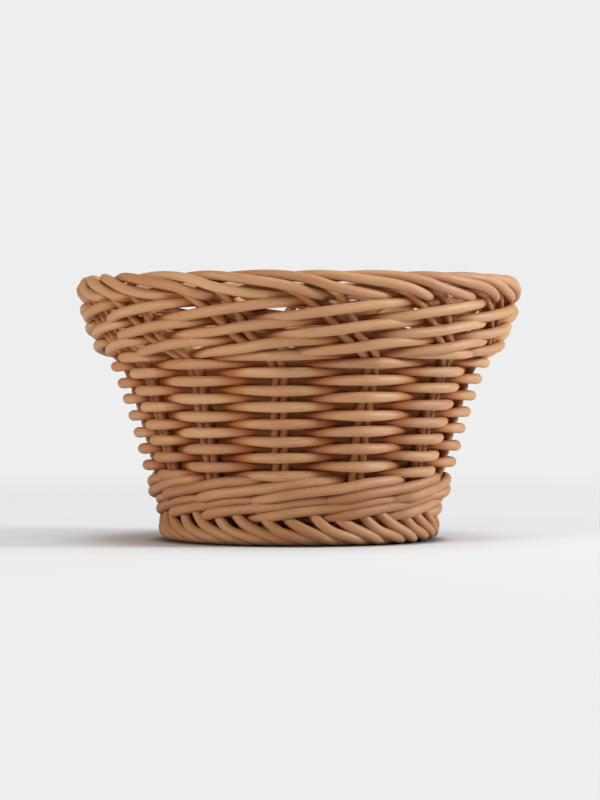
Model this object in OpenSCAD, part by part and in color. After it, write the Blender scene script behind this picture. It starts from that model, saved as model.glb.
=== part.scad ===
// Round cane bread basket, woven the way a basket maker works.
// Base sticks crossed at the middle and woven round, twisted pairs of stakes standing up from them,
// a three-rod lower wale, a plain woven siding, a two-rod upper wale, a rolled border made of the
// stakes' own ends,
// and a foot border of its own short canes.
// Millimetres, +Z up. The origin is on the floor under the middle of the basket.
// Angles run anticlockwise seen from above, from the front (-Y) towards the right (+X).

/* [Canes] */
// Thickness of the upright stakes
stake_d = 4.2; // [3.6:0.1:4.3]
// Thickness of the siding cane
siding_d = 4.6; // [3.8:0.1:4.6]
// Thickness of the canes in the two wales
wale_d = 4.8; // [4.2:0.1:5]
// Thickness of the foot canes
foot_d = 4.4; // [3.8:0.1:4.5]
// Thickness of the sticks across the base
stick_d = 4.6; // [4:0.1:5]
// Thickness of the cane woven round the base
base_cane_d = 3.8; // [3:0.1:4]

/* [Base] */
// Radius where the base ends and the stakes turn up
base_r = 59; // [57:0.5:60]
// Height of the middle of the base above the floor
base_z = 17.5; // [17:0.5:19]
// Distance between rounds of the base weaving
base_pitch = 5; // [4.8:0.1:6]

/* [Siding] */
// Height of the middle of the first siding round at its start
siding_z = 32.2; // [32:0.1:33]
// Rise of the siding cane in one round
siding_pitch = 4.05; // [3.9:0.05:4.1]
// Number of siding rounds
siding_rounds = 15; // [12:1:15]

/* [Wales] */
// Height of the middle of the lower wale's first round
lower_wale_z = 18; // [17.7:0.1:18.3]
// Rise of the lower wale in one round
lower_wale_pitch = 8.7; // [8.5:0.1:8.9]
// Height of the middle of the upper wale's first round
upper_wale_z = 95.2; // [95:0.1:95.6]
// Rise of the upper wale in one round
upper_wale_pitch = 8.3; // [8.1:0.1:8.5]

/* [Borders] */
// Height at which a stake turns in behind its neighbour
border_z = 121; // [120.6:0.1:121.4]
// Radius of the middle of the border
rim_r = 102.3; // [101.8:0.1:102.8]
// Radius of the foot border's middle
foot_r = 65; // [64.5:0.1:65.5]

/* [Hidden] */
// Hand-spaced stake pairs, as angles from the front
pair_at = [-7, 23, 53, 82, 110, 139, 167, 194, 222, 250, 277, 300, 324];
pairs = len(pair_at);
foot_pairs = 17;
foot_turn = 10; // angle of the first foot pair
foot_spread = 4.4; // half the angle between the two canes of a foot pair
sides = 6; // faces round a cane

// Radius of the stakes' centre line at each height
wall = [[15, 61.8], [21, 64.6], [28.5, 68.6], [37.5, 70.2], [46, 72.7], [54.5, 75], [62.5, 77.4],
        [71, 80.4], [79, 83], [87, 86.1], [95.5, 95.2], [103, 98.6], [111, 101.3], [120, 104.3]];

// How far the left and the right stake of each pair have leaned to the left at each height
lean_left = [[89, 0], [94, 4.5], [100, 9.5], [107.5, 13.5], [113, 17], [118, 21], [121, 23.5]];
lean_right = [[89, 0], [94, 2.5], [100, 7.5], [107.5, 9.8], [113, 11.2], [118, 13.5], [121, 15.2]];

// A stake's end in the border: how many stake spacings it has run to the left, how far it is outwards
// from rim_r, and how far up from border_z
border = [[0, 1, 0], [0.5, -4.4, 1.9], [0.9, -4.6, -1.6], [1.4, 2.8, -2.2], [2, 5.4, 1.4],
          [2.6, 4.6, 4.9], [3.2, 1.8, 6.9], [3.8, -2.2, 6.6], [4.3, -4.6, 5.4]];

// A foot cane: how many cane spacings it has run to the right, how far it is outwards from foot_r,
// and how far up from the floor
foot = [[-0.4, -2.5, 19.5], [0, 0, 15.8], [0.5, 1.9, 9.9], [0.9, 2.2, 7.1], [1.5, 1.8, 4.5],
        [2.1, -0.4, 2.8], [2.7, -3.4, foot_d / 2], [3.3, -5.6, 3.8], [4, -5.8, 7.2], [4.6, -5.2, 9.4]];

// Each base stick runs from one stake pair to another, and the last one stops half way
stick_ends = [[12, 5], [0, 6], [1, 7], [11, 2], [10, 3], [9, 4], [8]];
slath_gap = 4.9; // distance between the sticks where they cross
slath_r = 15; // radius where the crossed sticks start to spread

// The siding is five canes, each as long as three rounds
siding_canes = 5;
wale_start = 6; // all the weaving starts at the back, at this pair

function numbered(name, i) = str(name, i < 10 ? "0" : "", i);

// ---- places round the basket ----

// Angle of stake pair i, where i goes on counting past a full turn
function pair_angle(i) = pair_at[i % pairs] + 360 * floor(i / pairs);

function place(angle, r, z) = [r * sin(angle), -r * cos(angle), z];

function wall_r(z) = lookup(z, wall);

// Half the angle between the middles of two stakes that touch
function half_pair(r) = asin((stake_d / 2 + 0.05) / r);

// Angle of the left (side = -1) or right (side = 1) stake of pair i at height z
function stake_angle(i, side, z) =
    pair_angle(i) + side * half_pair(wall_r(z)) - lookup(z, side < 0 ? lean_left : lean_right);

// An angle between two canes that are counted one by one, of which low and high are the angles
function between(u, low, high) = low + (u - floor(u)) * (high - low);

// Middle and half width of a pair at height z, as the weaving meets it
function pair_middle(i, z) = (stake_angle(i, -1, z) + stake_angle(i, 1, z)) / 2;
function pair_half(z) =
    (stake_angle(0, 1, z) - stake_angle(0, -1, z)) / 2 + half_pair(wall_r(z));

// ---- a round cane along a path ----

function unit(v) = v / norm(v);

// Which way along the path at point i
function along(path, i) = unit(path[min(i + 1, len(path) - 1)] - path[max(i - 1, 0)]);

// Towards the middle of the basket, and up by that times rise: the direction of a ring's first corner
function inwards(p, rise) = let (r = norm([p.x, p.y])) [-p.x / r, -p.y / r, rise];

// One ring of points round the path at point i, turned by the way that the cane lies
function ring(path, i, d, lies) =
    let (
        t = along(path, i),
        first = lies == "flat" ? [0, 0, 1] : inwards(path[i], lies == "upright" ? 1 : 0),
        a = unit(first - (first * t) * t),
        b = cross(t, a))
    [for (k = [0:sides - 1]) path[i] + d / 2 * (cos(360 * k / sides) * a + sin(360 * k / sides) * b)];

// Side and end faces of a cane whose points start at number first
function skin(rings, first) = concat(
    [for (i = [0:rings - 2], k = [0:sides - 1])
        let (n = (k + 1) % sides, low = first + i * sides, high = low + sides)
        each [[low + k, low + n, high + n], [low + k, high + n, high + k]]],
    [[for (k = [0:sides - 1]) first + sides - 1 - k]],
    [[for (k = [0:sides - 1]) first + (rings - 1) * sides + k]]);

// One or more canes as separate closed solids, lying "round" the basket, "upright" or "flat"
module canes(paths, d, lies) {
    starts = [for (i = [0:len(paths) - 1]) sides * rings_before(paths, i)];
    polyhedron(
        points = [for (p = paths, i = [0:len(p) - 1]) each ring(p, i, d, lies)],
        faces = [for (j = [0:len(paths) - 1]) each flipped(skin(len(paths[j]), starts[j]))],
        convexity = 10);
}

function rings_before(paths, i) = i == 0 ? 0 : len(paths[i - 1]) + rings_before(paths, i - 1);
function flipped(faces) = [for (f = faces) [for (k = [len(f) - 1:-1:0]) f[k]]];

// ---- weaving ----

// In front of a pair (1) on even passes, behind it (-1) on odd ones
function front(pass) = pass % 2 == 0 ? 1 : -1;

// A level round that steps up to the next one at the back, over the last part of the round
function level_round(pass) =
    let (turn = floor(pass / pairs), part = pass / pairs - turn)
    turn + max(0, (part - 0.8) / 0.2);

// One of two or three twisted canes: it rises in front of all pairs but the last, then drops behind it.
// There is one rise for each round
module wale_cane(rod, rods, z0, pitch, rises) {
    fronts = rods - 1;
    slope = 0.3; // part of the rise that is gone from the middle of a front to the edge of the pair
    path = [for (pass = [0:len(rises) * pairs - 1], edge = [-1, 1])
        let (
            z = z0 + pitch * level_round(pass),
            rise = rises[floor(pass / pairs)],
            state = (pass + rod) % rods,
            out = state < fronts ? 1 : -1,
            up = state < fronts ? (2 * state + 1 - fronts) / 2 + slope * edge / fronts : -edge,
            i = pass + wale_start)
        place(pair_middle(i, z) + edge * pair_half(z),
            wall_r(z + up * rise) + out * ((stake_d + wale_d) / 2 + 0.1),
            z + up * rise)];
    canes([path], wale_d, "round");
}

module lower_wale_cane(rod) {
    color("peru") wale_cane(rod, 3, lower_wale_z, lower_wale_pitch, [4.6, 4.6]);
}

module upper_wale_cane(rod) {
    color("peru") wale_cane(rod, 2, upper_wale_z, upper_wale_pitch, [2.4, 2.6, 3.1]);
}

// One length of the siding: a single cane behind one pair and in front of the next
module siding_cane(number) {
    passes = siding_rounds * pairs / siding_canes;
    first = number * passes;
    reach = (stake_d + siding_d) / 2 + 0.1;
    path = [for (pass = [first:first + passes - 1], edge = [-1, 1])
        let (z = siding_z + siding_pitch * pass / pairs, i = pass + wale_start)
        place(pair_middle(i, z) + edge * pair_half(z), wall_r(z) - front(pass) * reach, z)];
    canes([path], siding_d, "round");
}

// The base cane, over one stick and under the next, from the crossing out to the edge
module base_weaver() {
    start_r = slath_r + 4;
    turns = (base_r - 1 - start_r) / base_pitch;
    reach = (stick_d + base_cane_d) / 2 + 0.1;
    path = [for (pass = [0:floor(turns * pairs)], edge = [-1, 1])
        let (
            r = start_r + base_pitch * pass / pairs,
            half_width = r < stake_foot_r - base_cane_d ? stick_d / 2 : stick_d / 2 + stake_d)
        place(pair_angle(pass) + edge * asin(half_width / r), r, base_z + front(pass) * reach)];
    color("peru") canes([path], base_cane_d, "flat");
}

// ---- base sticks ----

// A stick's end, from where it spreads to the edge of the base
function stick_end(i) = [
    place(pair_angle(i), base_r + 1, base_z),
    place(pair_angle(i), slath_r + 3, base_z)];

// The crossing: three sticks lie under and three over, side by side
function slath_point(number) =
    let (under = number < 3, across = (number % 3 - 1) * slath_gap)
    under ? [across, 0, base_z - stick_d / 2 - 0.05]
          : [0, across, base_z + stick_d / 2 + 0.05];

module base_stick(number) {
    a = stick_end(stick_ends[number][0]);
    b = stick_end(stick_ends[number][1]);
    color("burlywood") canes([[a[0], a[1], slath_point(number), b[1], b[0]]], stick_d, "flat");
}

module base_half_stick() {
    color("burlywood") canes([stick_end(stick_ends[6][0])], stick_d, "flat");
}

// ---- stakes ----

stake_foot_r = 46; // where the stakes' lower ends are pushed in beside the sticks

// Angle of stake j where it turns into the border, the stakes counted one by one
function turn_angle(j) = stake_angle(floor(j / 2) + pairs, j % 2 == 0 ? -1 : 1, border_z) - 360;
function border_angle(j) = between(j, turn_angle(floor(j)), turn_angle(floor(j) + 1));

// One stake: in beside a base stick, up the wall, and rolled down into the border
function stake_path(i, side) =
    let (
        j = 2 * i + (side < 0 ? 0 : 1),
        beside = (stick_d + stake_d) / 2 + 0.1)
    concat(
        [for (r = [stake_foot_r, base_r - 3])
            place(pair_angle(i) + side * asin(beside / r), r, base_z)],
        [for (z = [base_z + 3.5, 37.5, 62.5, 87, 93.5, 100, 107.5, 114])
            place(stake_angle(i, side, z), wall_r(z), z)],
        [for (p = border) place(border_angle(j - p[0]), rim_r + p[1], border_z + p[2])]);

module stake_pair(i) {
    color("tan") canes([stake_path(i, -1), stake_path(i, 1)], stake_d, "upright");
}

// ---- foot border ----

// Angle of the start of foot cane j, the canes counted one by one
function foot_start(j) =
    foot_turn + 360 / foot_pairs * floor(j / 2) + (j % 2 == 0 ? -foot_spread : foot_spread);
function foot_angle(j) = between(j, foot_start(floor(j)), foot_start(floor(j) + 1));

function foot_path(j) = [for (p = foot) place(foot_angle(j + p[0]), foot_r + p[1], p[2])];

module foot_pair(i) {
    color("sandybrown") canes([foot_path(2 * i), foot_path(2 * i + 1)], foot_d, "flat");
}

// ---- the parts ----

for (i = [0:5])
    base_stick(i);
base_half_stick();
base_weaver();
for (i = [0:pairs - 1])
    stake_pair(i);
lower_wale_cane(0);  // lower_wale_cane_a
lower_wale_cane(1);  // lower_wale_cane_b
lower_wale_cane(2);  // lower_wale_cane_c
for (i = [0:siding_canes - 1])
    color("tan") siding_cane(i);
upper_wale_cane(0);  // upper_wale_cane_a
upper_wale_cane(1);  // upper_wale_cane_b
for (i = [0:foot_pairs - 1])
    foot_pair(i);
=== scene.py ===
"""Woven cane bread basket: every cane of the basket as a smooth round cane with its own grain."""

import math
import random

import bpy
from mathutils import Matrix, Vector


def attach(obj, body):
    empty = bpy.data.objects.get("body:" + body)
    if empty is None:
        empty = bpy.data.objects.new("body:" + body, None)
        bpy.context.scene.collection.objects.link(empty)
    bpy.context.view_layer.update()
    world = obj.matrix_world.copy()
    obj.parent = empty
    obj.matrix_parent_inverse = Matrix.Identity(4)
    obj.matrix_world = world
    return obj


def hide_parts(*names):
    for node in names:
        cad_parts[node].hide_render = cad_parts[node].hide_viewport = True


bl_info = {
    "name": "Bread Basket",
    "version": (1, 0, 0),
    "blender": (4, 5, 0),
    "location": "View3D > Sidebar > Basket",
    "description": "Weaves a round cane bread basket on its packed frame",
    "category": "Add Mesh",
}

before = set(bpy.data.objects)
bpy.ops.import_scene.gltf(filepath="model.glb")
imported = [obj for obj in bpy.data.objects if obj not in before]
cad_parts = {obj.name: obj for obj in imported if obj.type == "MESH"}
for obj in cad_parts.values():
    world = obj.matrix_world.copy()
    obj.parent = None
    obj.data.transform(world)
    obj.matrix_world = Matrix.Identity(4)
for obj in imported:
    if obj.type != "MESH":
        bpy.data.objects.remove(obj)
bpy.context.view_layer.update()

BODY = "root"

# ---- the basket's plan, in metres and degrees; angles run from the front (-Y) towards the right (+X) ----

PAIR_AT = (-7, 23, 53, 82, 110, 139, 167, 194, 222, 250, 277, 300, 324)
PAIRS = len(PAIR_AT)
FOOT_PAIRS = 17
FOOT_TURN = 10  # angle of the first pair of foot canes
FOOT_SPREAD = 4.4  # how far either cane of a foot pair stands from the pair's middle
WEAVE_START = 6  # the pair at the back where all the weaving starts
SIDING_CANES = 5

# Height and radius of the stakes' centre line up the wall
WALL = (
    (0.015, 0.0618), (0.021, 0.0646), (0.0285, 0.0686), (0.0375, 0.0702), (0.046, 0.0727),
    (0.0545, 0.075), (0.0625, 0.0774), (0.071, 0.0804), (0.079, 0.083), (0.087, 0.0861),
    (0.0955, 0.0952), (0.103, 0.0986), (0.111, 0.1013), (0.120, 0.1043),
)
WALL_EASE = 0.0025  # how far up and down the corners of that line are eased

# How far the left and the right stake of a pair have leaned to the left at each height
LEAN = (
    (0.089, 0, 0), (0.094, 4.5, 2.5), (0.100, 9.5, 7.5), (0.1075, 13.5, 9.8), (0.113, 17, 11.2),
    (0.118, 21, 13.5), (0.121, 23.5, 15.2),
)

RIM_R = 0.1023
BORDER_Z = 0.121
# A stake's end in the border: stake spacings run to the left, outwards from RIM_R, up from BORDER_Z
BORDER = (
    (0, 0.0010, 0), (0.3, -0.0018, 0.0024), (0.6, -0.0048, 0.0014), (0.9, -0.0046, -0.0016),
    (1.12, -0.0020, -0.0026), (1.4, 0.0028, -0.0022), (2, 0.0054, 0.0014), (2.6, 0.0046, 0.0049),
    (3.2, 0.0018, 0.0069), (3.8, -0.0022, 0.0066), (4.3, -0.0046, 0.0054),
)

FOOT_R = 0.065
# A foot cane: cane spacings run to the right, outwards from FOOT_R, up from the floor
FOOT = (
    (-0.4, -0.0025, 0.0195), (0, 0, 0.0158), (0.25, 0.0012, 0.0124), (0.5, 0.0019, 0.0099),
    (0.9, 0.0022, 0.0071), (1.3, 0.0021, 0.0053), (1.7, 0.0013, 0.0038), (2.1, -0.0004, 0.0031),
    (2.6, -0.0029, 0.0028), (3.2, -0.0054, 0.0036), (3.8, -0.0060, 0.0063), (4.6, -0.0052, 0.0094),
)

# The pairs at which each base stick ends. The last one is the half stick
STICK_ENDS = ((12, 5), (0, 6), (1, 7), (11, 2), (10, 3), (9, 4), (8,))
SLATH_GAP = 0.0049  # between the middles of sticks that lie side by side at the crossing
SLATH_R = 0.015  # radius of the crossing
STAKE_FOOT_R = 0.046  # radius at which the stakes start
TOUCH = 0.00005  # half the gap left between canes that touch
SAG = 0.0003  # how far a siding cane dips in front of a pair, and rises behind it


class BasketSizes(bpy.types.PropertyGroup):
    stake: bpy.props.FloatProperty(
        name="Stake", description="Thickness of the upright stakes", default=0.0042, unit="LENGTH")
    siding: bpy.props.FloatProperty(
        name="Siding cane", description="Thickness of the cane woven up the sides",
        default=0.0052, unit="LENGTH")
    lower_wale: bpy.props.FloatProperty(
        name="Lower wale cane", description="Thickness of the lower wale's canes",
        default=0.0053, unit="LENGTH")
    upper_wale: bpy.props.FloatProperty(
        name="Upper wale cane", description="Thickness of the upper wale's canes",
        default=0.0051, unit="LENGTH")
    foot: bpy.props.FloatProperty(
        name="Foot cane", description="Thickness of the foot canes", default=0.0052, unit="LENGTH")
    stick: bpy.props.FloatProperty(
        name="Base stick", description="Thickness of the sticks across the base",
        default=0.0046, unit="LENGTH")
    base_cane: bpy.props.FloatProperty(
        name="Base cane", description="Thickness of the cane woven round the base",
        default=0.0038, unit="LENGTH")
    base_r: bpy.props.FloatProperty(
        name="Base radius", description="Radius where the stakes turn up", default=0.059, unit="LENGTH")
    base_z: bpy.props.FloatProperty(
        name="Base height", description="Height of the middle of the base",
        default=0.0175, unit="LENGTH")
    base_pitch: bpy.props.FloatProperty(
        name="Base pitch", description="Distance between rounds of the base",
        default=0.005, unit="LENGTH")
    siding_z: bpy.props.FloatProperty(
        name="Siding start", description="Height of the first siding round",
        default=0.0322, unit="LENGTH")
    siding_pitch: bpy.props.FloatProperty(
        name="Siding pitch", description="Rise of the siding in one round",
        default=0.00405, unit="LENGTH")
    siding_rounds: bpy.props.IntProperty(
        name="Siding rounds", description="Number of siding rounds", default=15)
    lower_wale_z: bpy.props.FloatProperty(
        name="Lower wale height", description="Height of its first round", default=0.018, unit="LENGTH")
    lower_wale_pitch: bpy.props.FloatProperty(
        name="Lower wale pitch", description="Rise of the lower wale in one round",
        default=0.0087, unit="LENGTH")
    upper_wale_z: bpy.props.FloatProperty(
        name="Upper wale height", description="Height of its first round", default=0.0952, unit="LENGTH")
    upper_wale_pitch: bpy.props.FloatProperty(
        name="Upper wale pitch", description="Rise of the upper wale in one round",
        default=0.0083, unit="LENGTH")


class BasketColours(bpy.types.PropertyGroup):
    tan: bpy.props.FloatVectorProperty(
        name="Tan", description="Main colour of the cane", subtype="COLOR", size=3,
        default=(0.53, 0.262, 0.115))
    pale: bpy.props.FloatVectorProperty(
        name="Pale", description="Straw colour of the paler stretches", subtype="COLOR", size=3,
        default=(0.64, 0.37, 0.185))
    rosy: bpy.props.FloatVectorProperty(
        name="Rosy", description="Pinkish brown of the darker stretches", subtype="COLOR", size=3,
        default=(0.44, 0.175, 0.080))
    pore: bpy.props.FloatVectorProperty(
        name="Pore", description="Colour of the fine dark fibres", subtype="COLOR", size=3,
        default=(0.20, 0.085, 0.035))


class StudioSettings(bpy.types.PropertyGroup):
    backdrop: bpy.props.FloatProperty(
        name="Backdrop", description="Brightness of the plain backdrop", default=0.855, min=0)
    ambient: bpy.props.FloatProperty(
        name="Ambient", description="Soft light from all round", default=0.12, min=0)
    floor_tone: bpy.props.FloatProperty(
        name="Floor tone", description="How pale the floor is", default=0.80, min=0, max=1)
    key_power: bpy.props.FloatProperty(
        name="Key light", description="Power of the soft light from the right, in watts",
        default=34, min=0)
    fill_power: bpy.props.FloatProperty(
        name="Fill light", description="Power of the soft light from the left, in watts",
        default=16, min=0)
    top_power: bpy.props.FloatProperty(
        name="Top light", description="Power of the broad light overhead, in watts", default=12, min=0)
    lens: bpy.props.FloatProperty(
        name="Lens", description="Focal length of the camera, in millimetres", default=135, min=1)
    distance: bpy.props.FloatProperty(
        name="Distance", description="From the camera to the basket's middle",
        default=1.49, unit="LENGTH")
    height: bpy.props.FloatProperty(
        name="Camera height", description="Height of the camera above the floor",
        default=0.084, unit="LENGTH")


# ---- places round the basket ----


def pair_angle(i):
    """Angle of stake pair i, which goes on counting past a full turn."""
    return PAIR_AT[i % PAIRS] + 360 * (i // PAIRS)


def place(angle, r, z):
    a = math.radians(angle)
    return Vector((r * math.sin(a), -r * math.cos(a), z))


def wall_line(z):
    """Wall radius at height z, on straight lines between the plan's points."""
    if z <= WALL[0][0]:
        return WALL[0][1]
    for (z0, r0), (z1, r1) in zip(WALL, WALL[1:]):
        if z <= z1:
            return r0 + (r1 - r0) * (z - z0) / (z1 - z0)
    return WALL[-1][1]


def wall_r(z):
    """Wall radius at height z, eased round the corners of the plan."""
    return sum(wall_line(z + step) for step in (-WALL_EASE, 0, WALL_EASE)) / 3


def lean(side, z):
    """How far the left (side -1) or right (side 1) stakes have leaned to the left at height z."""
    column = 1 if side < 0 else 2
    if z <= LEAN[0][0]:
        return 0
    for low, high in zip(LEAN, LEAN[1:]):
        if z <= high[0]:
            return low[column] + (high[column] - low[column]) * (z - low[0]) / (high[0] - low[0])
    return LEAN[-1][column]


def half_pair(r, stake):
    return math.degrees(math.asin((stake / 2 + TOUCH) / r))


def stake_angle(i, side, z, stake):
    """Angle of the left (side -1) or right (side 1) stake of pair i at height z."""
    return pair_angle(i) + side * half_pair(wall_r(z), stake) - lean(side, z)


def pair_middle(i, z, stake):
    return (stake_angle(i, -1, z, stake) + stake_angle(i, 1, z, stake)) / 2


def pair_half(z, stake):
    """Half the width of a pair at height z, as an angle."""
    return (stake_angle(0, 1, z, stake) - stake_angle(0, -1, z, stake)) / 2 + half_pair(wall_r(z), stake)


def front(number):
    """1 in front of a pair on even passes, -1 behind it on odd ones."""
    return 1 if number % 2 == 0 else -1


# ---- canes ----

ROUNDNESS = 4  # bevel resolution
CANE_SIDES = 4 + 2 * ROUNDNESS  # faces round a cane that the resolution gives
STAKE_SHADE = 0.82  # the part of the crevice shade that the stakes take
OWN_LENGTH = 5.0  # metres of grain kept for each cane, so that no two canes share a figure


def lay_canes(name, routes, thickness, steps, slot, material, nodes):
    """One piece made of one or more round canes. Each route is a list of (place, swell) points."""
    bpy.ops.object.select_all(action="DESELECT")
    bpy.ops.curve.primitive_bezier_curve_add(enter_editmode=False, location=(0, 0, 0))
    piece = bpy.context.object
    piece.name = name
    curve = piece.data
    curve.splines.clear()
    for route in routes:
        spline = curve.splines.new("BEZIER")
        spline.bezier_points.add(len(route) - 1)
        for point, (spot, swell) in zip(spline.bezier_points, route):
            point.co = spot
            point.radius = swell
            point.handle_left_type = point.handle_right_type = "AUTO"
    curve.dimensions = "3D"
    curve.resolution_u = curve.render_resolution_u = steps
    curve.bevel_depth = thickness / 2
    curve.bevel_resolution = ROUNDNESS
    curve.twist_mode = "MINIMUM"
    bpy.ops.object.convert(target="MESH")
    piece = bpy.context.object
    piece.name = name
    piece.data.name = name
    write_grain(piece, [(len(route) - 1) * steps + 1 for route in routes], thickness)
    write_tucked(piece, STAKE_SHADE if slot == "stake_cane" else 1)
    close_ends(piece)
    bpy.ops.object.shade_smooth_by_angle(angle=math.radians(50))
    piece.data.materials.clear()
    piece.data.materials.append(material)
    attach(piece, BODY)
    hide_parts(*nodes)


def write_grain(piece, ring_counts, thickness):
    """Stores where each point lies on its cane before bending: along it, and across it both ways."""
    mesh = piece.data
    rings = sum(ring_counts)
    if len(mesh.vertices) != rings * CANE_SIDES:
        raise RuntimeError(f"{piece.name}: {len(mesh.vertices)} points where {rings} rings were laid")
    chance = random.Random(piece.name)
    attribute = mesh.attributes.new("straight_cane", "FLOAT_VECTOR", "POINT")
    values = []
    first = 0
    for count in ring_counts:
        along = OWN_LENGTH * chance.randint(1, 400)
        last_middle = None
        for ring in range(count):
            start = (first + ring) * CANE_SIDES
            middle = sum((mesh.vertices[start + k].co for k in range(CANE_SIDES)), Vector()) / CANE_SIDES
            if last_middle is not None:
                along += (middle - last_middle).length
            last_middle = middle
            for k in range(CANE_SIDES):
                turn = 2 * math.pi * k / CANE_SIDES
                values += [along, thickness / 2 * math.cos(turn), thickness / 2 * math.sin(turn)]
        first += count
    attribute.data.foreach_set("vector", values)


# Half the thickness of the weave in each part of the basket, where the crevice shade ends
BORDER_DEPTH, BASE_DEPTH, FOOT_DEPTH, WALL_DEPTH = 0.0078, 0.0045, 0.0094, 0.0062
BORDER_CORE = (RIM_R, BORDER_Z + 0.0025)  # radius and height of the middle of the border
BORDER_FROM = BORDER_Z - 0.002
FOOT_CORE = (FOOT_R - 0.0035, 0.0075)  # radius and height of the middle of the foot
FOOT_TOP = 0.0135
BASE_FROM = 0.012
BASE_EDGE_R = WALL[0][1] - 0.003
BASE_CORE_Z = 0.0175


def tucked(spot):
    """How deep a point lies between the canes: 1 in the middle of the weave, 0 on either face of it."""
    r, z = math.hypot(spot.x, spot.y), spot.z
    if z > BORDER_FROM:
        depth = math.hypot(r - BORDER_CORE[0], z - BORDER_CORE[1]) / BORDER_DEPTH
    elif r < STAKE_FOOT_R or (r < BASE_EDGE_R and z > BASE_FROM):
        depth = abs(z - BASE_CORE_Z) / BASE_DEPTH
    elif z < FOOT_TOP:
        depth = math.hypot(r - FOOT_CORE[0], z - FOOT_CORE[1]) / FOOT_DEPTH
    else:
        depth = abs(r - wall_r(z)) / WALL_DEPTH
    return 1 - min(depth, 1)


def write_tucked(piece, share):
    """Stores how deep each point lies in the weave, where the cane material paints shade in the crevices.
    """
    attribute = piece.data.attributes.new("tucked", "FLOAT", "POINT")
    attribute.data.foreach_set("value", [tucked(vertex.co) * share for vertex in piece.data.vertices])


def close_ends(piece):
    """Fills the cut end of each cane."""
    bpy.ops.object.mode_set(mode="EDIT")
    bpy.ops.mesh.select_all(action="SELECT")
    bpy.ops.mesh.fill_holes(sides=0)
    bpy.ops.mesh.normals_make_consistent(inside=False)
    bpy.ops.object.mode_set(mode="OBJECT")


# ---- materials ----


def set_stops(ramp, stops):
    """Gives a new colour ramp its stops. Each is a place and a colour."""
    for end, (position, colour) in ((0, stops[0]), (1, stops[-1])):
        ramp.elements[end].position = position
        ramp.elements[end].color = (*colour, 1)
    for position, colour in stops[1:-1]:
        ramp.elements.new(position).color = (*colour, 1)


def cane_material(name):
    """Round cane: long fibres, fine dark pores, rosy and straw-coloured stretches and a satin surface."""
    colours = bpy.context.scene.basket_colours
    material = bpy.data.materials.new(name)
    material.use_nodes = True
    nodes, links = material.node_tree.nodes, material.node_tree.links
    shader = nodes["Principled BSDF"]

    grain = nodes.new("ShaderNodeAttribute")
    grain.attribute_name = "straight_cane"

    def noise(label, scale, detail, rough):
        mapping = nodes.new("ShaderNodeMapping")
        mapping.inputs["Scale"].default_value = scale
        texture = nodes.new("ShaderNodeTexNoise")
        texture.label = label
        texture.inputs["Scale"].default_value = 1
        texture.inputs["Detail"].default_value = detail
        texture.inputs["Roughness"].default_value = rough
        links.new(grain.outputs["Vector"], mapping.inputs["Vector"])
        links.new(mapping.outputs["Vector"], texture.inputs["Vector"])
        return texture.outputs["Fac"]

    def ramp(source, stops):
        node = nodes.new("ShaderNodeValToRGB")
        set_stops(node.color_ramp, stops)
        links.new(source, node.inputs["Fac"])
        return node.outputs["Color"]

    def blend(factor, first, second, mode="MIX"):
        node = nodes.new("ShaderNodeMix")
        node.data_type = "RGBA"
        node.blend_type = mode
        if hasattr(factor, "is_output"):
            links.new(factor, node.inputs["Factor"])
        else:
            node.inputs["Factor"].default_value = factor
        links.new(first, node.inputs["A"])
        links.new(second, node.inputs["B"])
        return node.outputs["Result"]

    tan, pale, rosy = colours.tan[:], colours.pale[:], colours.rosy[:]
    middle = [(a + b) / 2 for a, b in zip(tan, pale)]
    stretches = noise("stretches", (14, 90, 90), 2, 0.5)
    whole_cane = noise("whole cane", (2.2, 0, 0), 1, 0.5)
    base = blend(0.5, ramp(stretches, [(0.30, rosy), (0.50, tan), (0.70, pale)]),
                 ramp(whole_cane, [(0.30, rosy), (0.48, tan), (0.55, middle), (0.72, pale)]))
    fibres = noise("fibres", (55, 3200, 3200), 3, 0.6)
    fibre_tint = ramp(fibres, [(0.30, (0.74, 0.70, 0.66)), (0.62, (1.06, 1.06, 1.06))])
    fibred = blend(0.75, base, fibre_tint, "MULTIPLY")
    pores = noise("pores", (160, 6500, 6500), 2, 0.5)
    pore_mask = ramp(pores, [(0.60, (0, 0, 0)), (0.74, (0.5, 0.5, 0.5))])
    pore_colour = nodes.new("ShaderNodeRGB")
    pore_colour.outputs[0].default_value = (*colours.pore, 1)
    pored = blend(pore_mask, fibred, pore_colour.outputs[0])
    depth = nodes.new("ShaderNodeAttribute")
    depth.attribute_name = "tucked"
    # painted shade: the colour darkens with depth in the weave, where the crevices lie in shadow
    shade = ramp(depth.outputs["Fac"],
                 [(0.3, (1, 1, 1)), (0.6, (0.80, 0.64, 0.53)), (0.95, (0.46, 0.25, 0.16))])
    shaded = blend(1.0, pored, shade, "MULTIPLY")
    # painted shade: the colour darkens towards the bottom of the basket, where less light falls near the
    # floor
    spot = nodes.new("ShaderNodeTexCoord")
    height = nodes.new("ShaderNodeSeparateXYZ")
    links.new(spot.outputs["Object"], height.inputs["Vector"])
    painted_low_shade = ramp(height.outputs["Z"], [(0.028, (0.83, 0.75, 0.69)), (0.05, (1, 1, 1))])
    finished = blend(1.0, shaded, painted_low_shade, "MULTIPLY")
    links.new(finished, shader.inputs["Base Color"])

    links.new(ramp(fibres, [(0.25, (0.64,) * 3), (0.75, (0.52,) * 3)]), shader.inputs["Roughness"])
    sheen = ramp(depth.outputs["Fac"], [(0.2, (0.5,) * 3), (0.8, (0.08,) * 3)])
    links.new(sheen, shader.inputs["Specular IOR Level"])

    bump = nodes.new("ShaderNodeBump")
    bump.inputs["Strength"].default_value = 0.35
    bump.inputs["Distance"].default_value = 0.0002
    links.new(fibres, bump.inputs["Height"])
    links.new(bump.outputs["Normal"], shader.inputs["Normal"])
    return material


def cane_finish(name):
    """The named material, made the first time that it is asked for."""
    return bpy.data.materials.get(name) or cane_material(name)


# ---- routes ----


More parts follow.
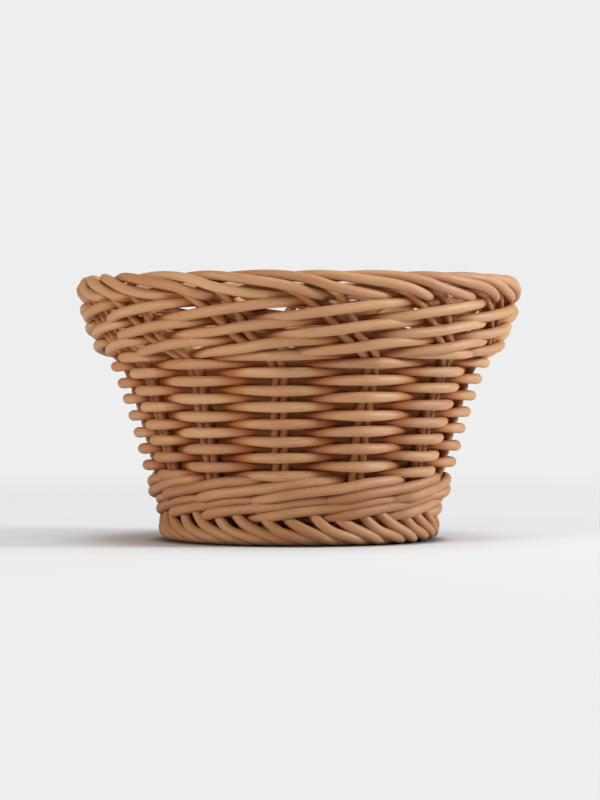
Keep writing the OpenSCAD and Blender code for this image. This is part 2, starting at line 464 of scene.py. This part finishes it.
LEVEL_PART = 0.8  # the part of a wale's round that stays level
STEP_PART = 0.2  # the rest of it, which steps up to the next round

# Gaps that a wale cane crosses on its way in behind a pair, out again, or on to the next front:
# how far across the gap, how far outwards in parts of its reach, how high in parts of its rise
TWO_ROD_GAPS = {
    "in": ((0.5, 0.45, 0.96),),
    "out": ((0.5, 0.45, -0.96),),
}
THREE_ROD_GAPS = {
    "in": ((0.35, 0.7, 0.85), (0.72, 0, 1)),
    "out": ((0.42, -0.2, -1), (0.76, 0.9, -0.8)),
    "on": ((0.5, 0.9, 0),),
}


def wale_route(rod, rods, thickness, z0, pitch, rises, stake, chance):
    """One of two or three twisted canes: it rises in front of all pairs but the last, then drops behind."""
    reach = (stake + thickness) / 2
    fronts = rods - 1
    route = []
    for number in range(len(rises) * PAIRS):
        turn, part = divmod(number, PAIRS)
        step_up = max(0, (part / PAIRS - LEVEL_PART) / STEP_PART)
        z = z0 + pitch * (turn + step_up) + chance.uniform(-0.0002, 0.0002)
        rise = rises[turn]
        state = (number + rod) % rods
        i = number + WEAVE_START
        middle = pair_middle(i, z, stake)
        half = pair_half(z, stake)
        gap = pair_middle(i + 1, z, stake) - middle
        for edge in (-1, 1):
            if state < fronts:
                at = z + rise * ((2 * state + 1 - fronts) / 2 + 0.3 * edge / fronts)
                out = reach * (1 if fronts == 1 else 1.25 - 0.35 * state)
            else:
                at = z - edge * rise
                out = -reach
            route.append((place(middle + edge * half * 0.8, wall_r(at) + out, at),
                          chance.uniform(0.97, 1.03)))
        move = "out" if state == fronts else "in" if state == fronts - 1 else "on"
        for across, outwards, up in (TWO_ROD_GAPS if fronts == 1 else THREE_ROD_GAPS)[move]:
            at = z + up * rise
            route.append((place(middle + across * gap, wall_r(at) + outwards * reach, at), 0.95))
    return route


def siding_route(number, sizes, chance):
    """One length of the siding: in front of one pair and behind the next."""
    passes = sizes.siding_rounds * PAIRS // SIDING_CANES
    reach = (sizes.stake + sizes.siding) / 2
    route = []
    for step in range(number * passes, (number + 1) * passes):
        side = -front(step)
        z = sizes.siding_z + sizes.siding_pitch * step / PAIRS + chance.uniform(-0.0004, 0.0004)
        i = step + WEAVE_START
        middle = pair_middle(i, z, sizes.stake)
        half = pair_half(z, sizes.stake)
        gap = (pair_middle(i + 1, z, sizes.stake) - middle) / 2
        at = z - side * SAG
        for edge in (-1, 1):
            route.append((place(middle + edge * half * 0.75, wall_r(at) + side * reach, at),
                          chance.uniform(0.97, 1.03)))
        at = z + sizes.siding_pitch / PAIRS / 2
        route.append((place(middle + gap, wall_r(at) - 0.0003, at), 0.86))
    return route[:-1]


def stake_route(i, side, sizes, chance):
    """In beside a base stick, up the wall, and rolled down into the border."""
    beside = (sizes.stick + sizes.stake) / 2 + TOUCH
    route = []
    for r in (STAKE_FOOT_R, sizes.base_r - 0.003):
        turn = math.degrees(math.asin(beside / r))
        route.append((place(pair_angle(i) + side * turn, r, sizes.base_z), 1))
    for z in (sizes.base_z + 0.0035, 0.0375, 0.0625, 0.087, 0.0935, 0.1, 0.1075, 0.114):
        route.append((place(stake_angle(i, side, z, sizes.stake), wall_r(z), z), 1))
    j = 2 * i + (0 if side < 0 else 1)
    for run, out, up in BORDER:
        route.append((place(border_angle(j - run, sizes.stake), RIM_R + out, BORDER_Z + up),
                      chance.uniform(1.1, 1.17)))
    return route


def between(angle_of, j):
    """An angle at a place between two canes that are counted one by one."""
    whole = math.floor(j)
    return angle_of(whole) + (j - whole) * (angle_of(whole + 1) - angle_of(whole))


def border_angle(j, stake):
    """Angle of stake j, counted one by one round the border."""
    return between(lambda n: stake_angle(n // 2, 1 if n % 2 else -1, BORDER_Z, stake), j)


def foot_angle(j):
    return between(lambda n: FOOT_TURN + 360 / FOOT_PAIRS * (n // 2) + (
        FOOT_SPREAD if n % 2 else -FOOT_SPREAD), j)


def foot_route(j, chance):
    return [(place(foot_angle(j + run), FOOT_R + out, up), chance.uniform(0.97, 1.03))
            for run, out, up in FOOT]


def base_weaver_route(sizes, chance):
    start_r = SLATH_R + 0.004
    turns = (sizes.base_r - 0.001 - start_r) / sizes.base_pitch
    reach = (sizes.stick + sizes.base_cane) / 2
    route = []
    for number in range(int(turns * PAIRS) + 1):
        r = start_r + sizes.base_pitch * number / PAIRS
        with_stakes = r >= STAKE_FOOT_R - sizes.base_cane
        half_width = sizes.stick / 2 + (sizes.stake if with_stakes else 0)
        half = math.degrees(math.asin(half_width / r))
        for edge in (-1, 1):
            route.append((place(pair_angle(number) + edge * half, r, sizes.base_z + front(number) * reach),
                          chance.uniform(0.97, 1.03)))
    return route


def stick_end(i, sizes):
    return [(place(pair_angle(i), sizes.base_r + 0.001, sizes.base_z), 0.95),
            (place(pair_angle(i), SLATH_R + 0.003, sizes.base_z), 1)]


def slath_spot(number, sizes):
    """Where a stick lies at the crossing: three under and three over, side by side."""
    across = (number % 3 - 1) * SLATH_GAP
    drop = sizes.stick / 2 + TOUCH
    if number < 3:
        return (Vector((across, 0, sizes.base_z - drop)), 1)
    return (Vector((0, across, sizes.base_z + drop)), 1)


# ---- operators ----


class BASKET_OT_base_sticks(bpy.types.Operator):
    """Lays the crossed sticks of the base"""
    bl_idname = "basket.base_sticks"
    bl_label = "Base Sticks"

    def execute(self, context):
        sizes = context.scene.basket_sizes
        finish = cane_finish("grained_base_stick")
        for number in range(6):
            a, b = (stick_end(i, sizes) for i in STICK_ENDS[number])
            name = f"base_stick_{number + 1}"
            lay_canes(f"cane_{name}", [a + [slath_spot(number, sizes)] + b[::-1]], sizes.stick, 14,
                      "base_stick", finish, [name])
        lay_canes("cane_base_half_stick", [stick_end(STICK_ENDS[6][0], sizes)], sizes.stick, 20,
                  "base_stick", finish, ["base_half_stick"])
        return {"FINISHED"}


class BASKET_OT_base_weaver(bpy.types.Operator):
    """Weaves the base cane over and under the sticks"""
    bl_idname = "basket.base_weaver"
    bl_label = "Base Weaver"

    def execute(self, context):
        sizes = context.scene.basket_sizes
        route = base_weaver_route(sizes, random.Random("base weaver"))
        lay_canes("cane_base_weaver", [route], sizes.base_cane, 5, "base_cane",
                  cane_finish("grained_base_cane"), ["base_weaver"])
        return {"FINISHED"}


class BASKET_OT_stakes(bpy.types.Operator):
    """Stands up the pairs of stakes and rolls their ends into the border"""
    bl_idname = "basket.stakes"
    bl_label = "Stakes and Border"

    def execute(self, context):
        sizes = context.scene.basket_sizes
        finish = cane_finish("grained_stake_cane")
        for i in range(PAIRS):
            name = f"stake_pair_{i + 1:02d}"
            chance = random.Random(name)
            lay_canes(f"cane_{name}", [stake_route(i, side, sizes, chance) for side in (-1, 1)],
                      sizes.stake, 12, "stake_cane", finish, [name])
        return {"FINISHED"}


class BASKET_OT_wales(bpy.types.Operator):
    """Twists the lower and the upper wale round the stakes"""
    bl_idname = "basket.wales"
    bl_label = "Wales"

    def execute(self, context):
        sizes = context.scene.basket_sizes
        finish = cane_finish("grained_wale_cane")
        wales = (
            ("lower", "abc", sizes.lower_wale, sizes.lower_wale_z, sizes.lower_wale_pitch,
             (0.0048, 0.0048)),
            ("upper", "ab", sizes.upper_wale, sizes.upper_wale_z, sizes.upper_wale_pitch,
             (0.0026, 0.0029, 0.0034)),
        )
        for wale, letters, thickness, z, pitch, rises in wales:
            for rod, letter in enumerate(letters):
                name = f"{wale}_wale_cane_{letter}"
                route = wale_route(rod, len(letters), thickness, z, pitch, rises, sizes.stake,
                                   random.Random(name))
                lay_canes(f"cane_{name}", [route], thickness, 6, "wale_cane", finish, [name])
        return {"FINISHED"}


class BASKET_OT_siding(bpy.types.Operator):
    """Weaves the siding canes one after another"""
    bl_idname = "basket.siding"
    bl_label = "Siding"

    def execute(self, context):
        sizes = context.scene.basket_sizes
        finish = cane_finish("grained_siding_cane")
        for number in range(SIDING_CANES):
            name = f"siding_cane_{number + 1}"
            route = siding_route(number, sizes, random.Random(name))
            lay_canes(f"cane_{name}", [route], sizes.siding, 8, "siding_cane", finish, [name])
        return {"FINISHED"}


class BASKET_OT_foot(bpy.types.Operator):
    """Plaits the short canes of the foot"""
    bl_idname = "basket.foot"
    bl_label = "Foot"

    def execute(self, context):
        sizes = context.scene.basket_sizes
        finish = cane_finish("grained_foot_cane")
        for i in range(FOOT_PAIRS):
            name = f"foot_pair_{i + 1:02d}"
            chance = random.Random(name)
            lay_canes(f"cane_{name}", [foot_route(j, chance) for j in (2 * i, 2 * i + 1)],
                      sizes.foot, 10, "foot_cane", finish, [name])
        return {"FINISHED"}


class BASKET_OT_studio(bpy.types.Operator):
    """Lays the pale floor and sets the soft light and the camera"""
    bl_idname = "basket.studio"
    bl_label = "Studio"

    def execute(self, context):
        settings = context.scene.basket_studio
        scene = context.scene
        scene.view_settings.view_transform = "Standard"
        add_backdrop(scene, settings)
        add_floor(settings)
        add_soft_light("key_light", (1.6, -0.2, 0.7), 0.5, settings.key_power, (0.84, 0.94, 1))
        add_soft_light("fill_light", (-1.2, -1.1, 0.6), 0.7, settings.fill_power, (1, 0.98, 0.94))
        add_soft_light("top_light", (0.25, -0.1, 1.6), 1.2, settings.top_power, (1, 1, 1))
        add_camera(scene, settings)
        return {"FINISHED"}


def add_backdrop(scene, settings):
    world = bpy.data.worlds.new("pale_backdrop")
    scene.world = world
    world.use_nodes = True
    nodes, links = world.node_tree.nodes, world.node_tree.links
    seen = nodes["Background"]
    seen.inputs["Color"].default_value = (1, 1, 1, 1)
    seen.inputs["Strength"].default_value = settings.backdrop
    ambient = nodes.new("ShaderNodeBackground")
    ambient.inputs["Strength"].default_value = settings.ambient
    ray = nodes.new("ShaderNodeLightPath")
    mix = nodes.new("ShaderNodeMixShader")
    links.new(ray.outputs["Is Camera Ray"], mix.inputs["Fac"])
    links.new(ambient.outputs["Background"], mix.inputs[1])
    links.new(seen.outputs["Background"], mix.inputs[2])
    links.new(mix.outputs["Shader"], nodes["World Output"].inputs["Surface"])


FLOOR_WARMTH = 0.985  # green and blue of the floor, as parts of its red
FADE_STOPS = ((0.07, 0), (0.13, 0.5), (0.35, 0.75), (1, 1))
# painted shadow under the foot: distances from the middle, and the share of the floor's colour kept there
FOOT_SHADOW_STOPS = ((0.0675, 0.22), (0.076, 1))


def add_floor(settings):
    """A wide round floor with a painted shadow under the foot, that fades into the backdrop far from the
    basket.
    """
    bpy.ops.object.select_all(action="DESELECT")
    bpy.ops.mesh.primitive_circle_add(vertices=96, radius=40, fill_type="NGON", location=(0, 0, 0))
    floor = bpy.context.object
    floor.name = "floor"
    material = bpy.data.materials.new("floor_paper")
    material.use_nodes = True
    nodes, links = material.node_tree.nodes, material.node_tree.links
    paper = nodes["Principled BSDF"]
    paper.inputs["Roughness"].default_value = 0.9
    paper.inputs["Specular IOR Level"].default_value = 0.1
    far = nodes.new("ShaderNodeEmission")
    far.inputs["Strength"].default_value = settings.backdrop
    place_on_floor = nodes.new("ShaderNodeTexCoord")
    distance = nodes.new("ShaderNodeVectorMath")
    distance.operation = "LENGTH"
    fade = nodes.new("ShaderNodeValToRGB")
    fade.color_ramp.interpolation = "EASE"
    set_stops(fade.color_ramp, [(r, (share,) * 3) for r, share in FADE_STOPS])
    # painted shadow: the floor's colour goes dark close under the foot
    under = nodes.new("ShaderNodeValToRGB")
    floor_colour = [settings.floor_tone * part for part in (1, FLOOR_WARMTH, FLOOR_WARMTH)]
    set_stops(under.color_ramp, [(r, [share * part for part in floor_colour]) for r, share in FOOT_SHADOW_STOPS])
    links.new(distance.outputs["Value"], under.inputs["Fac"])
    links.new(under.outputs["Color"], paper.inputs["Base Color"])
    mix = nodes.new("ShaderNodeMixShader")
    links.new(place_on_floor.outputs["Object"], distance.inputs[0])
    links.new(distance.outputs["Value"], fade.inputs["Fac"])
    links.new(fade.outputs["Color"], mix.inputs["Fac"])
    links.new(paper.outputs["BSDF"], mix.inputs[1])
    links.new(far.outputs["Emission"], mix.inputs[2])
    links.new(mix.outputs["Shader"], nodes["Material Output"].inputs["Surface"])
    floor.data.materials.append(material)


def add_soft_light(name, spot, size, power, colour):
    bpy.ops.object.light_add(type="AREA", location=spot)
    lamp = bpy.context.object
    lamp.name = name
    lamp.data.shape = "DISK"
    lamp.data.size = size
    lamp.data.energy = power
    lamp.data.color = colour
    aim(lamp, Vector((0, 0, 0.06)))


def aim(thing, target):
    thing.rotation_euler = (target - thing.location).to_track_quat("-Z", "Y").to_euler()


CAMERA_X = 0.0004
CAMERA_DROP = 0.0149  # how much lower than itself the camera looks, at the basket's middle


def add_camera(scene, settings):
    bpy.ops.object.camera_add(location=(CAMERA_X, -settings.distance, settings.height))
    camera = bpy.context.object
    camera.name = "camera"
    camera.data.lens = settings.lens
    camera.data.sensor_width = camera.data.sensor_height = 36
    camera.data.sensor_fit = "VERTICAL"
    camera.data.clip_end = 100
    aim(camera, Vector((CAMERA_X, 0, settings.height - CAMERA_DROP)))
    scene.camera = camera


class BASKET_PT_panel(bpy.types.Panel):
    """Lists what the basket is made of"""
    bl_idname = "BASKET_PT_panel"
    bl_label = "Bread Basket"
    bl_space_type = "VIEW_3D"
    bl_region_type = "UI"
    bl_category = "Basket"

    def draw(self, context):
        for operator in OPERATORS:
            self.layout.operator(operator.bl_idname)
        for settings in (context.scene.basket_sizes, context.scene.basket_colours,
                         context.scene.basket_studio):
            for key in settings.__annotations__:
                self.layout.prop(settings, key)


OPERATORS = (
    BASKET_OT_studio, BASKET_OT_base_sticks, BASKET_OT_base_weaver, BASKET_OT_stakes,
    BASKET_OT_wales, BASKET_OT_siding, BASKET_OT_foot,
)
CLASSES = (BasketSizes, BasketColours, StudioSettings, *OPERATORS, BASKET_PT_panel)


def register():
    for cls in CLASSES:
        bpy.utils.register_class(cls)
    bpy.types.Scene.basket_sizes = bpy.props.PointerProperty(type=BasketSizes)
    bpy.types.Scene.basket_colours = bpy.props.PointerProperty(type=BasketColours)
    bpy.types.Scene.basket_studio = bpy.props.PointerProperty(type=StudioSettings)


def unregister():
    del bpy.types.Scene.basket_studio
    del bpy.types.Scene.basket_colours
    del bpy.types.Scene.basket_sizes
    for cls in reversed(CLASSES):
        bpy.utils.unregister_class(cls)


def main():
    register()
    bpy.ops.basket.studio()
    bpy.ops.basket.base_sticks()
    bpy.ops.basket.base_weaver()
    bpy.ops.basket.stakes()
    bpy.ops.basket.wales()
    bpy.ops.basket.siding()
    bpy.ops.basket.foot()


if __name__ == "__main__":
    main()
